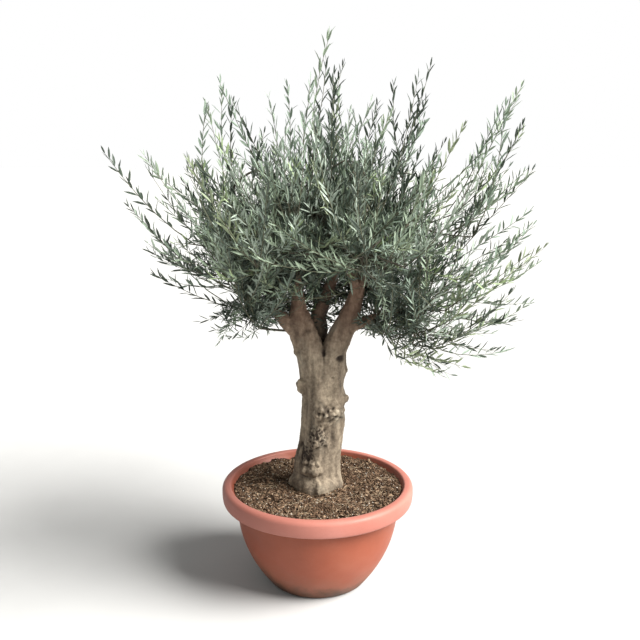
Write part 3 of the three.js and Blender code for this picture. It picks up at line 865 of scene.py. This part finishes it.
# Hollows in the crown's front, where the sprays part and the dark inside shows: x, z, half width
# and half height in millimetres.
HOLLOWS = in_metres([
    (-115, 1365, 55, 26), (190, 1375, 45, 28), (0, 1335, 35, 22),
])
# The ends of some long wands besides those of the frame, in millimetres.
LONG_WANDS = in_metres([
    (-100, 0, 1780), (175, -50, 1730), (255, 0, 1785), (690, 50, 1780), (750, -50, 1190),
    (750, 20, 1040), (755, 100, 1500), (-320, 20, 1775), (-280, -40, 1735), (110, 30, 1700),
    (360, 0, 1660), (420, -60, 1600), (300, -160, 874), (345, -100, 845), (390, -150, 840),
    (460, -120, 818), (420, -60, 820), (450, 50, 860), (665, -100, 1110), (660, 0, 975),
    (600, -80, 955), (665, -50, 885), (-555, -60, 1155), (-400, -100, 1000), (50, -20, 1800),
    (65, 30, 1720), (30, -50, 1860), (45, -80, 1680), (-290, -120, 955), (745, -150, 1260),
    (740, 50, 1310), (700, -100, 1200), (660, -150, 1270), (600, -120, 1220), (715, -50, 1370),
    (620, 50, 1470), (630, -180, 1150), (570, -120, 1310), (-600, -100, 1360), (-585, 0, 1230),
    (-550, -50, 1215), (-550, -180, 1280), (-500, -120, 1235), (-560, 80, 1400), (200, 0, 1720),
    (240, -50, 1690), (360, 30, 1680), (700, -20, 985),
])
# Short sprays that cover the side boughs: their middles, and how many.
COVERING = [
    ((-0.125, -0.1, 1.01), 14), ((-0.15, -0.1, 1.03), 16), ((-0.23, -0.08, 1.05), 12),
    ((0.2, -0.1, 1.0), 16), ((0.29, -0.06, 1.03), 12), ((-0.25, -0.09, 0.985), 9),
]
# Places besides the middle of the crown that inner shoots fill: round the lowest side boughs.
LOW_CORES = [((0.22, -0.05, 1.01), (0.17, 0.2, 0.1)), ((-0.2, -0.05, 1.04), (0.15, 0.2, 0.09))]


def in_line(places):
    """The x and z at which the line of sight to each place crosses the middle of the plant."""
    off = places - EYE
    x, _, z = (EYE - off * EYE[1] / off[:, 1:2]).T
    return x, z


def openness(places):
    """How much of the growth is gone at each place, for the gaps that sky shows through."""
    x, z = in_line(places)
    shares = [gone * (((x - a) / c) ** 2 + ((z - b) / d) ** 2 < 1) for a, b, c, d, gone in SKY_GAPS]
    return np.max(shares, axis=0)


def in_hollow(places):
    """Which places lie in a hollow of the crown's front."""
    x, z = in_line(places)
    ragged = 0.25 * ripples(places, 0.03, 53)
    inside = [((x - a) / c) ** 2 + ((z - b) / d) ** 2 < 1 + ragged for a, b, c, d in HOLLOWS]
    return np.any(inside, axis=0) & (places[:, 1] < -0.02)


def spaced_out(points, gap):
    """Numbers of the points to keep, so that none is nearer to an earlier one than the gap."""
    kept = []
    for i, point in enumerate(points):
        if not kept or (((points[kept] - point) ** 2).sum(axis=1) > gap ** 2).all():
            kept.append(i)
    return np.array(kept)


core_corners = np.concatenate([mass.core for mass in masses])
core_starts = np.cumsum([0, *[len(mass.core) for mass in masses]])
core_triangles = np.concatenate([mass.triangles + start for mass, start in zip(masses, core_starts)])
cores = BVHTree.FromPolygons(core_corners.tolist(), core_triangles.tolist())
planned = []


def on_the_outside(points, ways):
    """Whether nothing of the crown lies ahead of each point."""
    hits = [cores.ray_cast(Vector(p + 0.02 * way), Vector(way), 0.4) for p, way in zip(points, ways)]
    return np.array([hit[0] is None for hit in hits])


def scattered(counts):
    """Random points on the surface of each mass, and the mass's number for each of them."""
    drawn = [mass.surface(draw, round(count)) for mass, count in zip(masses, counts)]
    return np.concatenate(drawn), np.repeat(np.arange(len(masses)), [len(points) for points in drawn])


def plan(ends, lengths, owners, kind):
    """Notes some shoots to be grown: their ends, lengths and masses, and what kind they are."""
    planned.append((ends, lengths, owners, np.full(len(ends), kind)))


for owner, mass in enumerate(masses):
    if not mass.tips:
        furthest = np.argmax(np.linalg.norm(mass.points - CROWN_CENTRE, axis=1))
        mass.tips.append((mass.points[furthest], mass.heart))
    for tip, around in mass.tips:
        way = unit(tip - around)
        reach = np.linalg.norm(tip - around)
        rightness = ramped(tip[0], 0.2, 0.4) * (1.02 < tip[2] < 1.6)
        beside = round(draw.uniform(0, 1) + 2 * reach + 1.2 * rightness)
        back = draw.uniform(0.4, 1.1, (beside, 1)) * reach
        aside = draw.normal(size=(beside, 3)) * (0.02 + 0.12 * back)
        lone = "spray" in mass.name
        long = SPRAY_LENGTH if lone else min(0.3 + reach, LONGEST)
        plan([tip - way * 0.75 * KINDS["wand"][0]], [long], [owner], "lone" if lone else "wand")
        lengths = draw.uniform(*BESIDE_LENGTHS, beside)
        plan(tip - way * (back + 0.03) + aside, lengths, [owner] * beside, "beside")
for tip in LONG_WANDS:
    nearest = np.argmin([np.linalg.norm(mass.heart - tip) for mass in masses])
    plan([tip], [0.5 if tip[2] > 1.03 else 0.24], [nearest], "lone")
for middle, number in COVERING:
    ends = middle + draw.normal(size=(number, 3)) * (0.045, 0.035, 0.025)
    plan(ends, draw.uniform(*COVERING_LENGTHS, number), [0] * number, "inner")

points, owners = scattered([OUTER_DENSITY * mass.areas.sum() for mass in masses])
shuffled = draw.permutation(len(points))
points, owners = points[shuffled], owners[shuffled]
ways = growth_way(points)
outside = on_the_outside(points, ways)
points, owners, ways = points[outside], owners[outside], ways[outside]
kept = spaced_out(points, OUTER_GAP)
past = draw.uniform(*OUTER_DEPTHS, (len(kept), 1))
lengths = draw.uniform(*OUTER_LENGTHS, len(kept))
plan(points[kept] + ways[kept] * past, lengths, owners[kept], "outer")

points, owners = scattered([INNER_DENSITY * mass.volume for mass in masses])
hearts = np.array([mass.heart for mass in masses])[owners]
points = hearts + (points - hearts) * 0.9 * draw.uniform(0.02, 1, (len(points), 1)) ** (1 / 3)
in_core = np.linalg.norm((points - CORE_MIDDLE) / CORE_RADII, axis=1) < 1
for low_middle, low_radii in LOW_CORES:
    in_core |= np.linalg.norm((points - low_middle) / low_radii, axis=1) < 1
points, owners = points[in_core], owners[in_core]
shuffled = draw.permutation(len(points))
kept = shuffled[spaced_out(points[shuffled], INNER_GAP)]
plan(points[kept], draw.uniform(*INNER_LENGTHS, len(kept)), owners[kept], "inner")

shoot_ends, shoot_lengths, shoot_owners, shoot_kinds = (np.concatenate(c) for c in zip(*planned))
wood_places = np.array(wood.places)
beyond_gap = np.array(wood.drawn) & (openness(wood_places) >= 1) & (wood_places[:, 2] < 1.15)
for i in range(1, len(beyond_gap)):
    beyond_gap[i] |= beyond_gap[wood.parents[i]]
clear_of_fork = (wood_places[:, 2] > 1.06) | (np.hypot(*wood_places[:, :2].T) > 0.19)
bears_shoots = np.array(wood.drawn) & clear_of_fork | (wood_places[:, 2] > 1.3)
shoot_bearing = np.flatnonzero(bears_shoots & ~beyond_gap)

# Each shoot grows from the point of wood nearest to where its foot should be, if it isn't crowded.
strays = draw.normal(size=shoot_ends.shape) * np.where(shoot_kinds == "inner", 0.5, 0.15)[:, None]
feet = shoot_ends - unit(growth_way(shoot_ends) + strays) * shoot_lengths[:, None]
bearing = wood_places[shoot_bearing]
crowding = np.zeros(len(bearing))
starts = []
for foot in feet:
    nearest = int(np.argmin(np.linalg.norm(bearing - foot, axis=1) + crowding))
    crowding[nearest] += CROWDING
    starts.append(shoot_bearing[nearest])
starts = np.array(starts)

# Shoots that would hide the boughs or close a gap are left out.
half_way = (wood_places[starts] + shoot_ends) / 2
grown = ~(hides_boughs(shoot_ends) | hides_boughs(half_way))
steps_along = [wood_places[starts] * (1 - t) + shoot_ends * t for t in (0.3, 0.5, 0.75, 1)]
gone = np.max([openness(places) for places in steps_along], axis=0)
spared = (shoot_kinds == "lone") | ((shoot_kinds == "wand") & (shoot_ends[:, 2] > 1.42))
grown &= spared | (draw.uniform(0, 1, len(grown)) >= gone)
grown &= (shoot_kinds != "outer") | (draw.uniform(0, 1, len(grown)) < 1.45 - shoot_ends[:, 0])
starts, shoot_ends, shoot_owners, shoot_kinds, spared = (
    a[grown] for a in (starts, shoot_ends, shoot_owners, shoot_kinds, spared)
)
shoot_starts = wood_places[starts]
chords = shoot_ends - shoot_starts
spans = np.linalg.norm(chords, axis=1)
sagging = (ramped(shoot_ends[:, 2], 1.3, -0.25) * ramped(spans, 0, 0.3))[:, None]
first_ways = unit(unit(chords) + 0.3 * np.array(wood.headings)[starts] - (0.15 + 0.45 * sagging) * UP)
last_ways = unit(unit(chords) + 0.25 * UP + draw.normal(size=chords.shape) * 0.12)
handles = np.stack([
    shoot_starts,
    shoot_starts + first_ways * 0.33 * spans[:, None],
    shoot_ends - last_ways * 0.36 * spans[:, None],
    shoot_ends,
])


def shoot_places(which, along):
    """Places and headings along shoots, which and along being arrays of the same length."""
    t = along[:, None]
    a, b, c, d = (handles[k][which] for k in range(4))
    places = (1 - t) ** 3 * a + 3 * t * (1 - t) ** 2 * b + 3 * t * t * (1 - t) * c + t ** 3 * d
    ways = (1 - t) ** 2 * (b - a) + 2 * t * (1 - t) * (c - b) + t * t * (d - c)
    return places, unit(ways)


def ring_round(place, side, over, radius, corners):
    """The corners of a ring round a place, or round each of many places."""
    turns = np.linspace(0, 2 * np.pi, corners, endpoint=False)
    return [place + radius * (side * math.cos(a) + over * math.sin(a)) for a in turns]


STEM_RINGS = 6
STEM_TAPER = 0.66
count = len(shoot_ends)
ring_along = np.tile(np.linspace(0, 1, STEM_RINGS), count)
ring_places, ring_ways = shoot_places(np.repeat(np.arange(count), STEM_RINGS), ring_along)
side_hint = np.repeat(unit(draw.normal(size=(count, 3))), STEM_RINGS, axis=0)
ring_side = unit(np.cross(ring_ways, side_hint))
thick = np.repeat(0.001 + 0.0014 * ramped(spans, 0, 0.4), STEM_RINGS)
ring_radius = (thick * (1 - STEM_TAPER * ring_along))[:, None]
stem_rings = ring_round(ring_places, ring_side, np.cross(ring_ways, ring_side), ring_radius, 3)
stem_points = np.stack(stem_rings, axis=1).reshape(count, -1, 3)
stems = joined("shoot_stems", stem_points, tube_faces(STEM_RINGS))
smooth(stems)
stem_tones = [(0.35, 66, 64, 52), (0.5, 88, 88, 70), (0.68, 108, 110, 88)]
finished(stems, [speckled("shoot_bark", 0.7, 0.3, (6,), stem_tones)])

# The branches' own mesh comes after the shoots, because the shoots settle how thick each one is.
TWIG_RADIUS, BRANCH_RADIUS = 0.0016, 0.015
THICKENING = 0.42
WOOD_SIDES = 6
carried = np.zeros(len(wood.places))
np.add.at(carried, starts, 1)
for i in range(len(wood.places) - 1, 0, -1):
    carried[wood.parents[i]] += carried[i]
wood_radius = TWIG_RADIUS * np.maximum(carried, 1) ** THICKENING
wood_radius = np.clip(wood_radius, TWIG_RADIUS, BRANCH_RADIUS)
heir = {}
for i in range(1, len(wood.places)):
    parent = wood.parents[i]
    if wood.drawn[i] and (parent not in heir or carried[i] > carried[heir[parent]]):
        heir[parent] = i
wood_points, wood_faces = [], []
for i in range(1, len(wood.places)):
    parent = wood.parents[i]
    carries_on = wood.drawn[parent] and heir.get(parent) == i
    if carries_on or not wood.drawn[i] or carried[i] == 0:
        continue
    course = [parent, i]
    while course[-1] in heir and carried[heir[course[-1]]] > 0:
        course.append(heir[course[-1]])
    places = wood_places[course]
    radii = np.minimum(wood_radius[course], wood_radius[i] * 1.02)
    ways = unit(np.gradient(places, axis=0))
    side = unit(np.cross(ways[0], np.array([0.31, 0.87, 0.39])))
    rings = []
    for place, way, radius in zip(places, ways, radii):
        side = unit(side - way * (side @ way))
        rings += ring_round(place, side, np.cross(way, side), radius, WOOD_SIDES)
    faces = [*(tube_faces(len(course), WOOD_SIDES) + 1)]
    last = 1 + (len(course) - 1) * WOOD_SIDES
    for corner in range(WOOD_SIDES):
        beside = (corner + 1) % WOOD_SIDES
        faces += [(0, 1 + beside, 1 + corner), (last + corner, last + beside, last + WOOD_SIDES)]
    wood_faces.append(np.array(faces) + sum(map(len, wood_points)))
    wood_points.append(np.array([places[0], *rings, places[-1] + ways[-1] * radii[-1]]))
branches = joined("branches", np.concatenate(wood_points), np.concatenate(wood_faces))
smooth(branches)
wood_tones = [(0.3, 50, 46, 39), (0.5, 74, 69, 59), (0.7, 98, 93, 81)]
finished(branches, [speckled("branch_bark", 0.85, 0.25, (40, 5, 0.6), wood_tones, (300, 4, 0.001))])


# The leaves ---------------------------------------------------
# Narrow leathery leaves, 2 to 6 cm long, in pairs that stand crosswise to the next pair up the
# shoot, folded a little along the midrib. A spray has one colour: grey-green mostly, dark on the outer
# wands and as painted shade inside and under the crown and in some patches, silvery where undersides
# show and more so in the other patches as painted light, olive more often low on the right as painted
# warm light, and yellow-green at the ends of the youngest shoots.

LEAF_TINTS = {
    "dark_and_shaded": (62, 74, 62), "sage": (133, 149, 126), "grey": (127, 143, 127),
    "silver": (157, 170, 155), "olive": (126, 138, 107), "young": (140, 158, 116),
}
YOUNG_TINT = list(LEAF_TINTS).index("young")
YOUNG_PAIRS = 4
LEAVES_LEFT = 0.92
LEAF_SPREAD = (44, 9)

# One leaf, its length along X, its width across Y and its upper side towards Z, each from 0 to 1.
LEAF_SHAPE = np.array([
    (0, 0, 0),
    (0.3, 0.44, 0.1), (0.3, 0, 0), (0.3, -0.44, 0.1),
    (0.68, 0.42, 0.1), (0.68, 0, 0), (0.68, -0.42, 0.1),
    (1, 0, 0),
])
LEAF_FACES = np.array([
    (0, 2, 1), (0, 3, 2), (1, 2, 5), (1, 5, 4), (2, 3, 6), (2, 6, 5), (4, 5, 7), (5, 6, 7),
])

leaf_lengths, leaf_ratios, spacings, bare_shares = np.array([KINDS[kind] for kind in shoot_kinds]).T
leaf_rows = []
for i, spacing in enumerate(spacings):
    pairs = max(2, int((1 - bare_shares[i]) * spans[i] / spacing))
    ranks = np.arange(pairs)
    places = 1 - (ranks * spacing + 0.002) / spans[i]
    places = places + draw.normal(size=pairs) * 0.1 * spacing / spans[i]
    turns = draw.uniform(0, np.pi) + ranks * np.pi / 2
    for half in (0, np.pi):
        leaf_turns = turns + half + draw.normal(size=pairs) * 0.3
        leaf_rows.append([np.full(pairs, i), np.clip(places, 0, 1), leaf_turns, ranks])
leaf_shoot, leaf_along, leaf_turn, leaf_rank = np.concatenate(leaf_rows, axis=1)
leaf_shoot = leaf_shoot.astype(int)
leaf_places, stem_ways = shoot_places(leaf_shoot, leaf_along)
kept = (draw.uniform(0, 1, len(leaf_shoot)) < LEAVES_LEFT) & ~hides_boughs(leaf_places)
kept &= (openness(leaf_places) < 1) | spared[leaf_shoot]
kept &= ~in_hollow(leaf_places)
leaf_shoot, leaf_turn, leaf_rank, leaf_places, stem_ways = (
    a[kept] for a in (leaf_shoot, leaf_turn, leaf_rank, leaf_places, stem_ways)
)
leaves = len(leaf_shoot)
steady = unit(np.cross(stem_ways, np.array([0.0, 1.0, 0.05])))
steady_over = np.cross(stem_ways, steady)
sideways = steady * np.cos(leaf_turn)[:, None] + steady_over * np.sin(leaf_turn)[:, None]
near_end = np.exp(-leaf_rank / 1.6)
spreading = np.radians(draw.normal(*LEAF_SPREAD, leaves)) * (1 - 0.5 * near_end)
leaf_ways = stem_ways * np.cos(spreading)[:, None] + sideways * np.sin(spreading)[:, None]
on_wand = np.isin(shoot_kinds, ("lone", "wand", "beside"))
lifted = np.where(on_wand, 0.42, 0.24)[leaf_shoot][:, None]
leaf_ways = unit(leaf_ways + lifted * UP + draw.normal(size=leaf_ways.shape) * 0.1)
upper = stem_ways * 0.9 + 0.4 * UP + draw.normal(size=leaf_ways.shape) * 0.35
upper = unit(upper - leaf_ways * np.einsum("ij,ij->i", upper, leaf_ways)[:, None])
leaf_side = np.cross(upper, leaf_ways)
sizes = leaf_lengths[leaf_shoot] * draw.uniform(0.76, 1.14, leaves)
sizes = (sizes * (1 - 0.36 * np.exp(-leaf_rank / 1.1)))[:, None]
widths = sizes * (leaf_ratios[leaf_shoot] * draw.uniform(0.88, 1.08, leaves))[:, None]
widths = widths * (1 - 0.2 * ramped(leaf_places[:, 1:2], 0, -0.35))
bends = draw.normal(-0.02, 0.07, leaves)[:, None]
along, across, over = LEAF_SHAPE.T
leaf_points = (
    leaf_places[:, None]
    + (along * sizes)[..., None] * leaf_ways[:, None]
    + (across * widths)[..., None] * leaf_side[:, None]
    + (over * widths * 2 + bends * along ** 2 * sizes)[..., None] * upper[:, None]
)

# Each shoot is a spray with one tint, dealt by where it is, and some end in a young spray.
middle = (shoot_starts + shoot_ends) / 2
out_share = (shoot_ends - np.array([0, 0, 1.38])) / np.array([0.7, 0.62, 0.55])
shade_depth = np.clip(1 - np.linalg.norm(out_share, axis=1), 0, 1)
low = ramped(middle[:, 2], 1.3, -0.35)
right, left = ramped(middle[:, 0], 0, 0.4), ramped(middle[:, 0], 0, -0.4)
high = ramped(shoot_ends[:, 2], 1.42, 0.12)
under = ramped(middle[:, 2], 1.3, -0.14) * (np.abs(middle[:, 0]) < 0.38)
light_and_shade_patches = ripples(middle, 0.22, 52)
# Painted shade and light in the tint shares: the dark tint grows inside the crown, under it and in some
# patches; the silvery tint in the other patches; the olive tint on the lit right, most of all low down.
tint_weights = np.column_stack([
    0.16 + 0.5 * shade_depth + 2.0 * under + (0.08 + 0.5 * high) * on_wand + 0.35 * np.clip(light_and_shade_patches, 0, 2),
    np.full(count, 0.44),
    0.28 + 0.14 * left,
    0.18 + 0.05 * ramped(middle[:, 1], 0, -0.5) + 0.2 * np.clip(-light_and_shade_patches, 0, 2),
    0.05 + (0.08 + 0.3 * low) * right,
    0.01 + 0.04 * right,
])
tint_weights = np.cumsum(tint_weights / tint_weights.sum(axis=1, keepdims=True), axis=1)
shoot_tint = (draw.uniform(0, 1, (count, 1)) > tint_weights).sum(axis=1)
young_ended = draw.uniform(0, 1, count) < np.where(on_wand, 0.03, 0.07)
young_ended &= shoot_ends[:, 2] > 1.16
leaf_tint = shoot_tint[leaf_shoot]
leaf_tint = np.where(young_ended[leaf_shoot] & (leaf_rank < YOUNG_PAIRS), YOUNG_TINT, leaf_tint)

leaf_materials = []
for tint, colour in LEAF_TINTS.items():
    leaf_skin = bpy.data.materials.new(f"leaf_{tint}")
    leaf_skin.use_nodes = True
    skin = leaf_skin.node_tree.nodes["Principled BSDF"]
    skin.inputs["Base Color"].default_value = linear(*colour)
    skin.inputs["Roughness"].default_value = 0.5
    leaf_materials.append(leaf_skin)

for owner, mass in enumerate(masses):
    mine = shoot_owners[leaf_shoot] == owner
    piece = joined(mass.name.replace("foliage", "leaves"), leaf_points[mine], LEAF_FACES)
    finished(piece, leaf_materials, [mass.name])
    tints = np.repeat(leaf_tint[mine], len(LEAF_FACES))
    piece.data.polygons.foreach_set("material_index", tints.astype(np.int32))


# The studio ---------------------------------------------------
# A plain pale floor, an even pale surround, a large soft light from the right and above, and the
# camera at a standing person's eye level.

KEY_SIDE = (0.7, -0.25, 0.66)
CAMERA_DIP = 12.75

bpy.ops.mesh.primitive_plane_add(size=60, location=(0, 0, 0))
floor = bpy.context.object
floor.name = "floor"
floor_tones = [(0.4, 188, 188, 187), (0.6, 191, 191, 190)]
floor.data.materials.append(speckled("pale_floor", 0.9, 0.1, (2,), floor_tones))

surround = bpy.data.worlds.new("surround")
surround.use_nodes = True
sky = surround.node_tree
direction = sky.nodes.new("ShaderNodeTexCoord").outputs["Generated"]
split = sky.nodes.new("ShaderNodeSeparateXYZ")
shade = sky.nodes.new("ShaderNodeValToRGB")
shade.color_ramp.elements[0].position = 0.18
shade.color_ramp.elements[0].color = (1, 1, 1, 1)
shade.color_ramp.elements[1].position = 0.34
shade.color_ramp.elements[1].color = (0.3, 0.305, 0.3, 1)
sky.links.new(direction, split.inputs["Vector"])
sky.links.new(split.outputs["Z"], shade.inputs["Fac"])
sky.links.new(shade.outputs["Color"], sky.nodes["Background"].inputs["Color"])
bpy.context.scene.world = surround

bpy.ops.object.light_add(type="SUN")
key_light = bpy.context.object
key_light.name = "key_light"
key_light.rotation_euler = Vector(KEY_SIDE).to_track_quat("Z", "Y").to_euler()
key_light.data.angle = math.radians(40)
key_light.data.energy = 9.2
key_light.data.color = (1, 0.985, 0.96)

bpy.ops.object.camera_add(location=EYE, rotation=(math.radians(90 - CAMERA_DIP), 0, 0))
camera = bpy.context.object
camera.data.lens = 48.9
camera.data.sensor_width = 36
bpy.context.scene.camera = camera
bpy.context.scene.view_settings.view_transform = "Standard"
